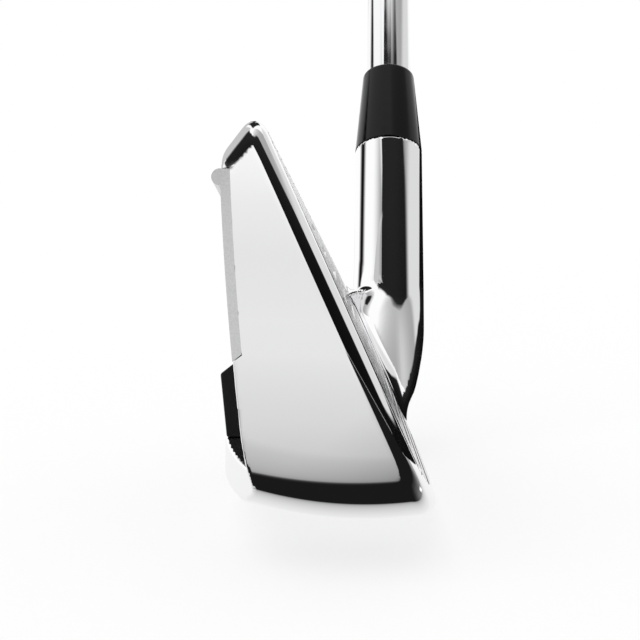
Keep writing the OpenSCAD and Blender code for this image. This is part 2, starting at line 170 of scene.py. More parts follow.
def skin_mesh(name, field, low, high, step):
    """Quads over the surface of a field, with the field's sharp edges kept."""
    halvings, flat_share, corner_probe = 12, 0.08, 0.06
    smooth_from, rounds, pull_share = 0.93, 3, 0.9
    axes = [np.arange(a, b, step) for a, b in zip(low, high)]
    grid = np.stack(np.meshgrid(*axes, indexing="ij"), -1)
    value = np.concatenate([field(g[None]) for g in grid])
    shape = np.array(value.shape)
    strides = np.array((shape[1] * shape[2], shape[2], 1))
    flat_grid, flat_value = grid.reshape(-1, 3), value.reshape(-1)
    spots, normals, cells, quads = [], [], [], []
    for k in range(3):
        take = [slice(1, n - 1) for n in shape]
        i = np.argwhere(((value < 0) != (np.roll(value, -1, k) < 0))[tuple(take)]) + 1
        i = i @ strides
        near, far = flat_grid[i], flat_grid[i + strides[k]]
        starts_in = flat_value[i] < 0
        lo, hi = np.zeros(len(i)), np.ones(len(i))
        for _ in range(halvings):
            mid = (lo + hi) / 2
            same = (field(near + mid[:, None] * (far - near)) < 0) == starts_in
            lo, hi = np.where(same, mid, lo), np.where(same, hi, mid)
        spot = near + ((lo + hi) / 2)[:, None] * (far - near)
        u, v = strides[(k + 1) % 3], strides[(k + 2) % 3]
        ring = np.stack([i, i - u, i - u - v, i - v], -1)
        quads.append(np.where(starts_in[:, None], ring, ring[:, ::-1]))
        cells.append(ring.reshape(-1))
        spots.append(np.repeat(spot, 4, 0))
        normals.append(np.repeat(slope(field, spot), 4, 0))
    spots, normals = np.concatenate(spots), np.concatenate(normals)
    ids, index = np.unique(np.concatenate(cells), return_inverse=True)

    def total(values):
        return np.stack([np.bincount(index, c, len(ids)) for c in values.T], -1)
    middle = total(spots) / np.bincount(index)[:, None]
    matrix = total((normals[:, :, None] * normals[:, None]).reshape(-1, 9)).reshape(-1, 3, 3)
    reach = ((spots - middle[index]) * normals).sum(-1)
    w, axes_ = np.linalg.eigh(matrix)
    w = np.where(w > flat_share * w[:, 2:], 1 / np.maximum(w, 1e-9), 0)
    pull = np.einsum("nji,nj->ni", axes_, total(normals * reach[:, None])) * w
    corner = flat_grid[ids]
    points = np.clip(middle + np.einsum("nij,nj->ni", axes_, pull), corner, corner + step)
    place = {c: n for n, c in enumerate(ids)}
    faces = np.vectorize(place.get)(np.concatenate(quads))
    centre = points[faces].mean(1)
    toward = centre[:, None] - points[faces]
    toward /= np.maximum(np.linalg.norm(toward, axis=-1, keepdims=True), 1e-9)
    corner_normal = slope(field, points[faces] + corner_probe * toward)
    mean = np.zeros_like(points)
    np.add.at(mean, faces.reshape(-1), corner_normal.reshape(-1, 3))
    mean /= np.maximum(np.linalg.norm(mean, axis=-1, keepdims=True), 1e-9)
    spread = np.ones(len(points))
    np.minimum.at(spread, faces.reshape(-1),
                  (corner_normal * mean[faces]).sum(-1).reshape(-1))
    smooth = spread > smooth_from
    for _ in range(rounds):
        rise = slope(field, points[smooth])
        points[smooth] -= field(points[smooth])[:, None] * rise * pull_share
    normal = slope(field, points)
    corner_normal = np.where(smooth[faces][..., None], normal[faces], corner_normal)
    mesh = bpy.data.meshes.new(name)
    mesh.from_pydata(to_frame(points).tolist(), [], faces.tolist())
    mesh.validate()
    mesh.shade_smooth()
    mesh.normals_split_custom_set(corner_normal.reshape(-1, 3).tolist())
    piece = bpy.data.objects.new(name, mesh)
    bpy.context.scene.collection.objects.link(piece)
    return piece


def linear(colour):
    """An sRGB hex colour as linear red, green, blue and alpha."""
    parts = [int(colour[n:n + 2], 16) / 255 for n in (1, 3, 5)]
    return [c / 12.92 if c <= 0.04045 else ((c + 0.055) / 1.055) ** 2.4 for c in parts] + [1]


def add_node(tree, kind, links=(), **settings):
    """Adds a shader node; settings name its properties or sockets, links its inputs."""
    made = tree.nodes.new(kind)
    for key, value in settings.items():
        socket = key.replace("_", " ").title()
        if socket in made.inputs:
            made.inputs[socket].default_value = value
        else:
            setattr(made, key, value)
    for socket, source in dict(links).items():
        tree.links.new(source, made.inputs[socket])
    return made


def new_material(name, colour, metallic, roughness, **sockets):
    """A material, its node tree and its shader, with the shader's plain values set."""
    made = bpy.data.materials.new(name)
    made.use_nodes = True
    shader = made.node_tree.nodes["Principled BSDF"]
    shader.inputs["Base Color"].default_value = linear(colour)
    shader.inputs["Metallic"].default_value = metallic
    shader.inputs["Roughness"].default_value = roughness
    for key, value in sockets.items():
        shader.inputs[key.replace("_", " ")].default_value = value
    return made, made.node_tree, shader


def per_metre(millimetres):
    """Scale of a noise texture whose features are that many millimetres wide."""
    return 1000 / millimetres


def bands_per_metre(millimetres):
    """Scale of a wave texture whose bands are that many millimetres apart."""
    return math.pi / 10 * 1000 / millimetres


# Bright nickel-chrome plate, mirror polished: sharp reflections, with a trace of
# polishing haze in drifts a few millimetres wide and lines too fine to see singly.
chrome, tree, shader = new_material("mirror_polished_chrome_plate", "#fdfdfe", 1, 0.03)
place = add_node(tree, "ShaderNodeTexCoord").outputs["Object"]
haze = add_node(tree, "ShaderNodeTexNoise", {"Vector": place}, scale=per_metre(9), detail=5.0)
haze_range = add_node(tree, "ShaderNodeMapRange", {"Value": haze.outputs["Fac"]},
                      from_min=0.35, from_max=0.75, to_min=0.02, to_max=0.05)
tree.links.new(haze_range.outputs["Result"], shader.inputs["Roughness"])
head_low, head_high, head_step = (-28.03, -82.07, -1.11), (8.6, 39.9, 63.0), 0.5
head = skin_mesh("chrome_head", head_field, head_low, head_high, head_step)
head.data.materials.append(chrome)
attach(head, "root")
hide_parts("head_body")

# ---- Face plate ------------------------------------------------------------
# The thin striking plate, rolled from maraging steel and laser welded into the
# front of the casting. Its score lines are milled, and its face is media blasted.

# Milled and blasted steel: a soft grey sheen, with the cutter's arcs across it.
# The arcs are 0.2 mm apart on the real plate and are drawn at 3.8 mm to show.
face_steel, tree, shader = new_material("milled_blasted_steel", "#e6e6e8", 1, 0.2)
place = add_node(tree, "ShaderNodeTexCoord").outputs["Object"]
arcs = add_node(tree, "ShaderNodeTexWave", {"Vector": place}, wave_type="RINGS",
                rings_direction="X", scale=bands_per_metre(3.77), distortion=0.4, detail=2.0)
blast = add_node(tree, "ShaderNodeTexNoise", {"Vector": place}, scale=per_metre(0.35), detail=3.0)
cut = add_node(tree, "ShaderNodeMath", {0: arcs.outputs["Fac"], 1: blast.outputs["Fac"]},
               operation="ADD")
relief = add_node(tree, "ShaderNodeBump", {"Height": cut.outputs[0]}, strength=0.12,
                  distance=0.00002)
tree.links.new(relief.outputs["Normal"], shader.inputs["Normal"])
sheen = add_node(tree, "ShaderNodeMapRange", {"Value": blast.outputs["Fac"]},
                 from_min=0.3, from_max=0.7, to_min=0.15, to_max=0.22)
tree.links.new(sheen.outputs["Result"], shader.inputs["Roughness"])


def dress(node, material):
    """Gives a CAD node's own solid its finish."""
    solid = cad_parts[node]
    solid.data.materials.clear()
    solid.data.materials.append(material)


dress("face_plate", face_steel)

# ---- Weight and core -------------------------------------------------------
# A tungsten bar brazed low in the hollow at the toe, and the soft urethane full
# of glass bubbles that is injected around it to take the ring out of the face.

# Sintered tungsten: dark grey metal, matt, with a fine pressed grain.
tungsten, tree, shader = new_material("sintered_tungsten", "#6b6b70", 1, 0.5)
place = add_node(tree, "ShaderNodeTexCoord").outputs["Object"]
grain = add_node(tree, "ShaderNodeTexNoise", {"Vector": place}, scale=per_metre(0.4), detail=4.0)
relief = add_node(tree, "ShaderNodeBump", {"Height": grain.outputs["Fac"]}, strength=0.3,
                  distance=0.00004)
tree.links.new(relief.outputs["Normal"], shader.inputs["Normal"])
dress("sole_weight", tungsten)

# Cast urethane with glass bubbles: charcoal, dull, pitted where the bubbles sit.
urethane, tree, shader = new_material("bubble_filled_urethane", "#3a3a3d", 0, 0.7, IOR=1.5)
place = add_node(tree, "ShaderNodeTexCoord").outputs["Object"]
bubbles = add_node(tree, "ShaderNodeTexVoronoi", {"Vector": place}, scale=per_metre(0.5))
relief = add_node(tree, "ShaderNodeBump", {"Height": bubbles.outputs["Distance"]}, strength=0.4,
                  distance=0.00008)
tree.links.new(relief.outputs["Normal"], shader.inputs["Normal"])
dress("damping_core", urethane)

# ---- Rear plate ------------------------------------------------------------
# The satin plate let into the back, with a half-round rim along its top edge.
# It is stamped from stainless sheet, bead blasted, and held by bonding tape.

# Bead-blasted stainless: even grey with a fine sparkle that has no direction.
# The blasted pits are under 0.1 mm and are drawn at 0.2 mm to show.
badge_steel, tree, shader = new_material("bead_blasted_stainless", "#e6e6e7", 1, 0.42)
place = add_node(tree, "ShaderNodeTexCoord").outputs["Object"]
pits = add_node(tree, "ShaderNodeTexNoise", {"Vector": place}, scale=per_metre(0.2), detail=4.0)
tone = add_node(tree, "ShaderNodeValToRGB", {"Fac": pits.outputs["Fac"]})
tone.color_ramp.elements[0].position, tone.color_ramp.elements[1].position = 0.3, 0.7
tone.color_ramp.elements[0].color = linear("#dededf")
tone.color_ramp.elements[1].color = linear("#ececed")
tree.links.new(tone.outputs["Color"], shader.inputs["Base Color"])
relief = add_node(tree, "ShaderNodeBump", {"Height": pits.outputs["Fac"]}, strength=0.2,
                  distance=0.00002)
tree.links.new(relief.outputs["Normal"], shader.inputs["Normal"])


def eased_solid(name, node, radius, material):
    """The CAD solid of a node with its sharp edges broken by a small radius."""
    form = bmesh.new()
    form.from_mesh(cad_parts[node].data)
    bmesh.ops.remove_doubles(form, verts=form.verts, dist=1e-6)
    bmesh.ops.dissolve_limit(form, angle_limit=math.radians(1.5), verts=form.verts,
                             edges=form.edges)
    sharp = [e for e in form.edges if e.is_manifold and e.calc_face_angle(0) > math.radians(25)]
    bmesh.ops.bevel(form, geom=sharp, offset=radius / 1000, segments=3, profile=0.5,
                    affect="EDGES", clamp_overlap=True)
    bmesh.ops.recalc_face_normals(form, faces=form.faces)
    mesh = bpy.data.meshes.new(name)
    form.to_mesh(mesh)
    form.free()
    mesh.shade_smooth()
    mesh.set_sharp_from_angle(angle=math.radians(40))
    mesh.materials.append(material)
    piece = bpy.data.objects.new(name, mesh)
    bpy.context.scene.collection.objects.link(piece)
    weighted = piece.modifiers.new("face_weighted_normals", "WEIGHTED_NORMAL")
    weighted.keep_sharp = True
    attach(piece, "root")
    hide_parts(node)


eased_solid("satin_rear_plate", "rear_badge", 0.15, badge_steel)

# Acrylic bonding tape: milky film that only shows as a hairline at the edges.
tape_film, tree, shader = new_material("acrylic_bonding_tape", "#d8d6cc", 0, 0.55, IOR=1.48)
place = add_node(tree, "ShaderNodeTexCoord").outputs["Object"]
film = add_node(tree, "ShaderNodeTexNoise", {"Vector": place}, scale=per_metre(1.5), detail=3.0)
dull = add_node(tree, "ShaderNodeMapRange", {"Value": film.outputs["Fac"]},
                to_min=0.45, to_max=0.65)
tree.links.new(dull.outputs["Result"], shader.inputs["Roughness"])
dress("badge_tape", tape_film)
dress("bar_tape", tape_film)

# ---- Muscle bar ------------------------------------------------------------
# The black bar that sits on the ledge behind the sole, under the rear plate. It
# is injection moulded from filled nylon and is bonded to the back with tape.

# Moulded black nylon: near black, a low satin sheen and a fine mould texture.
bar_nylon, tree, shader = new_material("moulded_black_nylon", "#0d0d0e", 0, 0.46, IOR=1.27)
place = add_node(tree, "ShaderNodeTexCoord").outputs["Object"]
mould = add_node(tree, "ShaderNodeTexNoise", {"Vector": place}, scale=per_metre(0.3), detail=3.0)
relief = add_node(tree, "ShaderNodeBump", {"Height": mould.outputs["Fac"]}, strength=0.25,
                  distance=0.00003)
tree.links.new(relief.outputs["Normal"], shader.inputs["Normal"])
satin = add_node(tree, "ShaderNodeMapRange", {"Value": mould.outputs["Fac"]},
                 from_min=0.3, from_max=0.7, to_min=0.42, to_max=0.52)
tree.links.new(satin.outputs["Result"], shader.inputs["Roughness"])
eased_solid("black_muscle_bar", "muscle_bar", 0.3, bar_nylon)

# ---- Adhesive and tip pin --------------------------------------------------
# Two-part epoxy fills the gap between the bore and the shaft's tip, and a turned
# brass pin sits inside the tip to bring the head to weight.

# Cured epoxy: amber and glassy, with a few trapped bubbles.
epoxy, tree, shader = new_material("cured_epoxy", "#b89a58", 0, 0.2, IOR=1.55)
place = add_node(tree, "ShaderNodeTexCoord").outputs["Object"]
cloud = add_node(tree, "ShaderNodeTexNoise", {"Vector": place}, scale=per_metre(2), detail=3.0)
tone = add_node(tree, "ShaderNodeValToRGB", {"Fac": cloud.outputs["Fac"]})
tone.color_ramp.elements[0].color = linear("#a2813f")
tone.color_ramp.elements[1].color = linear("#cdb27a")
tree.links.new(tone.outputs["Color"], shader.inputs["Base Color"])
dress("hosel_adhesive", epoxy)

# Turned brass: warm yellow metal with lathe rings. They are a fraction of a
# millimetre apart on the real pin and are drawn at 2.5 mm.
brass, tree, shader = new_material("turned_brass", "#d8b563", 1, 0.25)
place = add_node(tree, "ShaderNodeTexCoord").outputs["Object"]
rings = add_node(tree, "ShaderNodeTexWave", {"Vector": place}, bands_direction="Z",
                 scale=bands_per_metre(2.51))
relief = add_node(tree, "ShaderNodeBump", {"Height": rings.outputs["Fac"]}, strength=0.2,
                  distance=0.00003)
tree.links.new(relief.outputs["Normal"], shader.inputs["Normal"])
dress("tip_pin", brass)

# ---- Ferrule ---------------------------------------------------------------
# The black collar that covers the step between hosel and shaft. It is moulded
# from cellulose acetate, pushed on the shaft, and turned flush with the hosel.
shaft_tip_r = 4.7
ferrule_length, ferrule_lip, ferrule_edge, lip_gap = 18.8, 0.8, 0.12, 0.02
on_shaft = Matrix(((1, 0, 0), (0, axis[2], axis[1]), (0, -axis[1], axis[2]))).to_4x4()


def turned(name, outline, foot, segments, material, node, crease=35):
    """A solid of revolution about the shaft axis, from a closed outline of radius and height."""
    turns = np.arange(segments) * 2 * math.pi / segments
    points = [(r * math.cos(t) / 1000, r * math.sin(t) / 1000, h / 1000)
              for r, h in outline for t in turns]
    count = len(outline)
    faces = [(i * segments + k, i * segments + (k + 1) % segments,
              (i + 1) % count * segments + (k + 1) % segments, (i + 1) % count * segments + k)
             for i in range(count) for k in range(segments)]
    mesh = bpy.data.meshes.new(name)
    mesh.from_pydata(points, [], faces)
    mesh.validate()
    mesh.shade_smooth()
    mesh.set_sharp_from_angle(angle=math.radians(crease))
    mesh.materials.append(material)
    piece = bpy.data.objects.new(name, mesh)
    bpy.context.scene.collection.objects.link(piece)
    piece.matrix_world = Matrix.Translation(to_frame(axis * foot)) @ on_shaft
    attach(piece, "root")
    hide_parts(node)


def rounded(r, h, radius, start, end, steps=6):
    """Points of a round corner about a centre, from one angle to another."""
    return [(r + radius * math.cos(math.radians(a)), h + radius * math.sin(math.radians(a)))
            for a in np.linspace(start, end, steps + 1)]


# Turned and polished cellulose acetate: deep black with a wet gloss, and faint
# rings from the turning that show only in the edges of its reflections. Real ones
# are under 0.2 mm apart; they are drawn at 3.1 mm.
acetate, tree, shader = new_material("polished_black_acetate", "#070708", 0, 0.1, IOR=1.3)
place = add_node(tree, "ShaderNodeTexCoord").outputs["Object"]
rings = add_node(tree, "ShaderNodeTexWave", {"Vector": place}, bands_direction="Z",
                 scale=bands_per_metre(3.14), distortion=0.6)
gloss = add_node(tree, "ShaderNodeMapRange", {"Value": rings.outputs["Fac"]},
                 to_min=0.07, to_max=0.14)
tree.links.new(gloss.outputs["Result"], shader.inputs["Roughness"])
turned("black_ferrule",
       [(shaft_tip_r, 0), (hosel_r - ferrule_edge, 0), (hosel_r, ferrule_edge)]
       + rounded(shaft_tip_r + lip_gap, ferrule_length - ferrule_lip + lip_gap,
                 ferrule_lip - lip_gap, 0, 90)
       + [(shaft_tip_r, ferrule_length)], hosel_top, 160, acetate, "ferrule")

# ---- Shaft -----------------------------------------------------------------
# The stepped shaft, a seamless tube drawn down in thirteen steps from butt to tip.
# It is high-tensile steel, polished, and plated with nickel and chrome.
tip_foot, first_step, step_pitch, step_run, step_count = 31.7, 271.7, 31.0, 1.5, 13
butt_r, shaft_end, tip_wall, butt_wall = 7.62, 959.0, 0.75, 0.38
outer = [(shaft_tip_r, tip_foot)]
for n in range(step_count):
    for h in np.linspace(0, 1, 5):
        outer.append((shaft_tip_r + (butt_r - shaft_tip_r) * (n + ease(h, 0, 1)) / step_count,
                      first_step + step_pitch * n + step_run * h))
outer.append((butt_r, shaft_end))
inner = [(r - tip_wall + (tip_wall - butt_wall) * (r - shaft_tip_r) / (butt_r - shaft_tip_r), h)
         for r, h in reversed(outer)]

# Chrome on a centreless-polished tube: as bright as the head, with fine polishing
# rings 0.1 mm apart, drawn at 5 mm, that blur its reflections a little lengthwise.
tube_chrome, tree, shader = new_material("polished_chrome_tube", "#f8f8f9", 1, 0.05)
place = add_node(tree, "ShaderNodeTexCoord").outputs["Object"]
rings = add_node(tree, "ShaderNodeTexWave", {"Vector": place}, bands_direction="Z",
                 scale=bands_per_metre(5.03), distortion=2.0, detail=2.0)
haze = add_node(tree, "ShaderNodeMapRange", {"Value": rings.outputs["Fac"]},
                to_min=0.04, to_max=0.08)
tree.links.new(haze.outputs["Result"], shader.inputs["Roughness"])
turned("stepped_shaft", [(r, h - tip_foot) for r, h in outer + inner], tip_foot, 128,
       tube_chrome, "shaft")

# ---- Grip ------------------------------------------------------------------
# The slip-on grip, moulded in one piece from natural rubber and cork and stuck on
# with a wound paper tape. Crossing grooves give the hands their hold.

# Crepe paper tape: buff and dry. Its crimp is 0.7 mm apart and is drawn at 4.4 mm.
paper, tree, shader = new_material("crepe_paper_tape", "#cdc3a8", 0, 0.85, IOR=1.5)
place = add_node(tree, "ShaderNodeTexCoord").outputs["Object"]
crimp = add_node(tree, "ShaderNodeTexWave", {"Vector": place}, bands_direction="Z",
                 scale=bands_per_metre(4.4), distortion=3.0, detail=3.0)
relief = add_node(tree, "ShaderNodeBump", {"Height": crimp.outputs["Fac"]}, strength=0.4,
                  distance=0.0001)
tree.links.new(relief.outputs["Normal"], shader.inputs["Normal"])
dress("grip_tape", paper)

# Moulded rubber with ground cork: charcoal black, dry and dull, with paler specks
# about half a millimetre wide and a slight polish on the raised faces.
rubber, tree, shader = new_material("moulded_cork_rubber", "#1d1d1e", 0, 0.72, IOR=1.52)
place = add_node(tree, "ShaderNodeTexCoord").outputs["Object"]
specks = add_node(tree, "ShaderNodeTexVoronoi", {"Vector": place}, scale=per_metre(0.9))
tone = add_node(tree, "ShaderNodeValToRGB", {"Fac": specks.outputs["Distance"]})
tone.color_ramp.elements[0].position, tone.color_ramp.elements[1].position = 0.12, 0.34
tone.color_ramp.elements[0].color = linear("#2b2a29")
tone.color_ramp.elements[1].color = linear("#1b1b1c")
tree.links.new(tone.outputs["Color"], shader.inputs["Base Color"])
skin = add_node(tree, "ShaderNodeTexNoise", {"Vector": place}, scale=per_metre(0.4), detail=4.0)
relief = add_node(tree, "ShaderNodeBump", {"Height": skin.outputs["Fac"]}, strength=0.35,
                  distance=0.00006)
tree.links.new(relief.outputs["Normal"], shader.inputs["Normal"])
grip_foot, grip_length, tape_r = 697.0, 262.0, 7.92
grip_profile = np.array(((0, 8.5), (0.35, 8.95), (1, 9.1), (8, 9.4), (209.6, 12.544),
                         (256, 13.0), (262, 13.3)))
grip_rings, grip_turns = 420, 160
diamond_round, diamond_long, groove_deep, groove_wide = 12, 6.4, 0.42, 0.85
groove_flat, groove_slant, band_flat, band_wide = 0.15, 0.72, 0.1, 0.8
pattern_foot, pattern_top = (21, 22.2), (237, 235.8)
band_heights = (9, 12, 15, 20.4, 237.6, 243, 246, 249)
heights = np.concatenate([(0, 0.35, 1), np.linspace(2.2, 256, grip_rings), (259, 262)])
radii = np.interp(heights, grip_profile[:, 0], grip_profile[:, 1])
turn = np.arange(grip_turns) / grip_turns
patterned = (ease(heights, *pattern_foot) * ease(heights, *pattern_top))[:, None]
reach = heights[:, None] / diamond_long
groove = np.zeros((len(heights), grip_turns))
for hand in (-1, 1):
    lane = diamond_round * turn[None] + hand * reach / 2
    off = np.abs(lane - np.round(lane)) * 2 * math.pi * radii[:, None] / diamond_round
    off = off * groove_slant
    groove = np.maximum(groove, 1 - ease(off, groove_flat, groove_wide))
bands = np.zeros(len(heights))
for height in band_heights:
    bands = np.maximum(bands, 1 - ease(np.abs(heights - height), band_flat, band_wide))
depth = groove_deep * np.maximum(groove * patterned, bands[:, None])
skin_r = radii[:, None] - depth
points = np.stack([skin_r * np.cos(2 * math.pi * turn), skin_r * np.sin(2 * math.pi * turn),
                   np.broadcast_to(heights[:, None], skin_r.shape)], -1).reshape(-1, 3)
tube = [(tape_r * math.cos(2 * math.pi * t), tape_r * math.sin(2 * math.pi * t), h)
        for h in (grip_length, 0) for t in turn]
count = len(heights) + 2
faces = [(i * grip_turns + k, i * grip_turns + (k + 1) % grip_turns,
          (i + 1) % count * grip_turns + (k + 1) % grip_turns, (i + 1) % count * grip_turns + k)
         for i in range(count) for k in range(grip_turns)]
mesh = bpy.data.meshes.new("rubber_grip")
mesh.from_pydata((np.concatenate([points, tube]) / 1000).tolist(), [], faces)
mesh.validate()
mesh.shade_smooth()
mesh.set_sharp_from_angle(angle=math.radians(60))
mesh.materials.append(rubber)
grip = bpy.data.objects.new("rubber_grip", mesh)
bpy.context.scene.collection.objects.link(grip)
grip.matrix_world = Matrix.Translation(to_frame(axis * grip_foot)) @ on_shaft
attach(grip, "root")
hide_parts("grip")

# ---- Grip cap --------------------------------------------------------------
# The end cap of the grip, moulded from the same rubber in a harder grade, with a
# vent in the middle that lets the air out as the grip is pushed on.
cap_rubber = rubber.copy()
cap_rubber.name = "moulded_hard_rubber"
cap_r, cap_t, cap_edge, vent_r, vent_edge = 13.3, 6.0, 3.0, 1.6, 0.4
cap_ring = ((9.2, 0), (8.9, 0.3), (8.3, 0.3), (8.0, 0))
turned("rubber_cap", [(vent_r, 0), (cap_r, 0)]
       + rounded(cap_r - cap_edge, cap_t - cap_edge, cap_edge, 0, 90, 10)
       + [(r, cap_t - deep) for r, deep in cap_ring]
       + [(vent_r + vent_edge, cap_t), (vent_r, cap_t - vent_edge)],
       shaft_end, 128, cap_rubber, "grip_cap")

# ---- Floor and light -------------------------------------------------------
# A white sweep under soft even light. Cards that only the metal sees stand round
# the club, as round any polished piece, so that its edges draw in black and grey.
# Their outlines are fitted to the reflections in the photograph's view.
far = 9000
white = linear("#ffffff")


def sheet(name, corners, faces, material, seen):
    """A stage sheet; one that is not seen shows only in reflections."""
    mesh = bpy.data.meshes.new(name)
    mesh.from_pydata([tuple(to_frame(c)) for c in corners], [], faces)
    mesh.materials.append(material)
    made = bpy.data.objects.new(name, mesh)
    bpy.context.scene.collection.objects.link(made)
    if not seen:
        made.visible_camera = made.visible_diffuse = made.visible_shadow = False
        made.visible_transmission = made.visible_volume_scatter = False
    return made


# Matt white paint. The camera sees it mostly as plain white, so that the shadow
# under the club stays but is faint.
floor_paint = bpy.data.materials.new("matt_white_floor")
floor_paint.use_nodes = True
tree = floor_paint.node_tree
tree.nodes.clear()
matt = add_node(tree, "ShaderNodeBsdfDiffuse", color=white)
plain = add_node(tree, "ShaderNodeEmission", color=white)
ray = add_node(tree, "ShaderNodeLightPath")
share = add_node(tree, "ShaderNodeMapRange", {"Value": ray.outputs["Is Camera Ray"]}, to_max=0.65)
mixed = add_node(tree, "ShaderNodeMixShader", {0: share.outputs["Result"], 1: matt.outputs[0],
                                               2: plain.outputs[0]})
add_node(tree, "ShaderNodeOutputMaterial", {"Surface": mixed.outputs[0]})
square = ((-far, -far), (far, -far), (far, far), (-far, far))
sheet("floor", [(x, y, 0) for x, y in square], [(0, 1, 2, 3)], floor_paint, True)

# Card on the floor, seen only in reflections, with the contact shadow painted on: black in a strip
# under the toe and in a wedge to its right, then grey painted shade that pales with the distance
# from the strip, in front of it and behind it. Each ramp runs across one edge, on a log scale:
# millimetres past the edge, then the tone.
card_lift, decades = 0.03, 3
floor_shade_card = bpy.data.materials.new("painted_floor_shade")
floor_shade_card.use_nodes = True
tree = floor_shade_card.node_tree
tree.nodes.clear()
spot = add_node(tree, "ShaderNodeTexCoord").outputs["Object"]
tones = []
for across, edge, stops in (
        ((-0.079, -1, 0), 80.6, ((0, 0.01), (0.6, 0.02), (1.1, 0.08), (1.7, 0.35), (3, 0.42),
                                 (6, 0.47), (16, 0.55), (44, 0.69), (175, 0.80), (999, 0.81))),
        ((0, 1, 0), -72.5, ((0, 0.01), (0.25, 0.24), (0.6, 0.40), (1.4, 0.53), (3, 0.65), (6, 0.77),
                            (15, 0.88), (100, 0.92))),
        ((-0.966, -0.259, 0), 22.5, ((0, 0.01), (0.3, 0.5), (1, 0.70), (6, 0.83), (18, 1))),
        ((0.25, 0.97, 0), -77, ((0, 0), (2.5, 0.045), (5, 0.1), (8, 0.18), (12, 0.3), (17, 0.35))),
        ((1, 0, 0), 2, ((0, 0), (2, 0.3), (6, 1)))):
    run = add_node(tree, "ShaderNodeVectorMath", {0: spot}, operation="DOT_PRODUCT")
    run.inputs[1].default_value = [1000 * c for c in across]
    run = run.outputs["Value"]
    for operation, operand in (("ADD", float(np.dot(across, hold)) - edge), ("MAXIMUM", 0),
                               ("ADD", 1), ("LOGARITHM", 10), ("DIVIDE", decades)):
        step = add_node(tree, "ShaderNodeMath", {0: run}, operation=operation)
        step.inputs[1].default_value = operand
        run = step.outputs[0]
    ramp = add_node(tree, "ShaderNodeValToRGB", {"Fac": run})
    while len(ramp.color_ramp.elements) < len(stops):
        ramp.color_ramp.elements.new(0.5)
    for element, (past, value) in zip(ramp.color_ramp.elements, stops):
        element.position, element.color = math.log10(past + 1) / decades, (value, value, value, 1)
    tones.append(ramp.outputs["Color"])
for first, second, way in ((0, 2, "MULTIPLY"), (-1, 1, "LIGHTEN"), (3, 4, "MULTIPLY"),
                           (-2, -1, "LIGHTEN")):
    mixed = add_node(tree, "ShaderNodeMix", {6: tones[first], 7: tones[second]},
                     data_type="RGBA", blend_type=way)
    mixed.inputs[0].default_value = 1
    tones.append(mixed.outputs[2])
# The card glows with these tones, a painted contact shadow and shade that only the metal reflects.
glow = add_node(tree, "ShaderNodeEmission", {"Color": tones[-1]})
add_node(tree, "ShaderNodeOutputMaterial", {"Surface": glow.outputs[0]})
sheet("floor_shade_card", [(x, y, card_lift) for x, y in square], [(0, 1, 2, 3)], floor_shade_card, False)

# Standing cards, black cloth or grey board, with feathered edges.
card_board = bpy.data.materials.new("feathered_card")
card_board.use_nodes = True
tree = card_board.node_tree
tree.nodes.clear()
tone = add_node(tree, "ShaderNodeAttribute", attribute_name="tone")
cover = add_node(tree, "ShaderNodeAttribute", attribute_name="cover")
glow = add_node(tree, "ShaderNodeEmission", {"Strength": tone.outputs["Fac"]})
clear = add_node(tree, "ShaderNodeBsdfTransparent")
mixed = add_node(tree, "ShaderNodeMixShader", {0: cover.outputs["Fac"], 1: clear.outputs[0],
                                               2: glow.outputs[0]})
add_node(tree, "ShaderNodeOutputMaterial", {"Surface": mixed.outputs[0]})
card_rows, card_step = 24, 1.5
head_middle, toe_peak, edge_end = (-5, -50, 30), (-23, -77, 53), (0, -76, 11)
heel_middle, hosel_foot = (3, -4, 12), (3, 10, 30)


def standing_card(name, edges, tones, feather, reach=1500, middle=head_middle):
    """A curved card at a reach from its middle. In degrees, edges give the azimuth off the
    toe side and the lower and upper heights, tones a height and its level, and feather the
    soft width of the left, right, lower and upper edges."""
    edges = np.array(edges, float)
    ways = np.unique(np.concatenate([np.arange(edges[0, 0], edges[-1, 0], card_step), edges[:, 0]]))
    low, high = (np.interp(ways, edges[:, 0], edges[:, n])[:, None] for n in (1, 2))
    heights = low + (high - low) * np.linspace(0, 1, card_rows)
    a, e = np.radians(ways)[:, None], np.radians(heights)
    points = np.array(middle) + reach * np.stack(
        [np.sin(a) * np.cos(e), -np.cos(a) * np.cos(e), np.sin(e)], -1)
    inside = [ways[:, None] - ways[0], ways[-1] - ways[:, None], heights - low, high - heights]
    cover = np.ones_like(heights)
    for distance, width in zip(inside, feather):
        if width:
            cover = cover * ease(distance, 0, width)
    faces = [(i * card_rows + k, (i + 1) * card_rows + k, (i + 1) * card_rows + k + 1,
              i * card_rows + k + 1) for i in range(len(ways) - 1) for k in range(card_rows - 1)]
    made = sheet(name, points.reshape(-1, 3), faces, card_board, False)
    level = np.interp(heights, [h for h, _ in tones], [v for _, v in tones])
    for label, values in (("tone", level), ("cover", cover)):
        made.data.attributes.new(label, "FLOAT", "POINT").data.foreach_set("value", values.ravel())


# Black flags, which draw the dark bands and edges in the metal: over the head, about the
# toe, about the heel and the foot of the hosel, and further off at the sides and behind.
black = ((-2, 0.004), (30, 0.007), (50, 0.014), (60, 0.018))
standing_card("black_flag_over", [
    (-50, 57, 66), (-41, 56, 68), (-40, 47.5, 70), (-36, 46, 70), (-30, 43, 70), (-24, 42, 70),
    (10, 43, 70), (16, 41, 70), (17.5, 34, 69.5), (18, -2, 69.5), (25, -2, 67.5),
    (33, -2, 65.5), (45, -2, 65), (55, -2, 64.5), (60, -2, 63), (64, -2, 60), (68, -2, 56),
    (72, -2, 51), (80, -2, 44), (88, -2, 40)], black, (1, 16, 1, 5))
standing_card("black_flag_toe", [
    (-118, 31, 78), (-100, 39, 78), (-90, 40.5, 78), (-65, 40.5, 78), (-45, 39, 78),
    (-30, 36, 78), (-20, 33.5, 78), (-13, 33.5, 78), (-9, 34, 78), (-6, 35, 77), (-3, 37, 76),
    (2, 39.5, 74), (8, 41.5, 72), (15, 42, 70), (20, 39, 68)], black, (38, 0, 6, 4), 80, toe_peak)
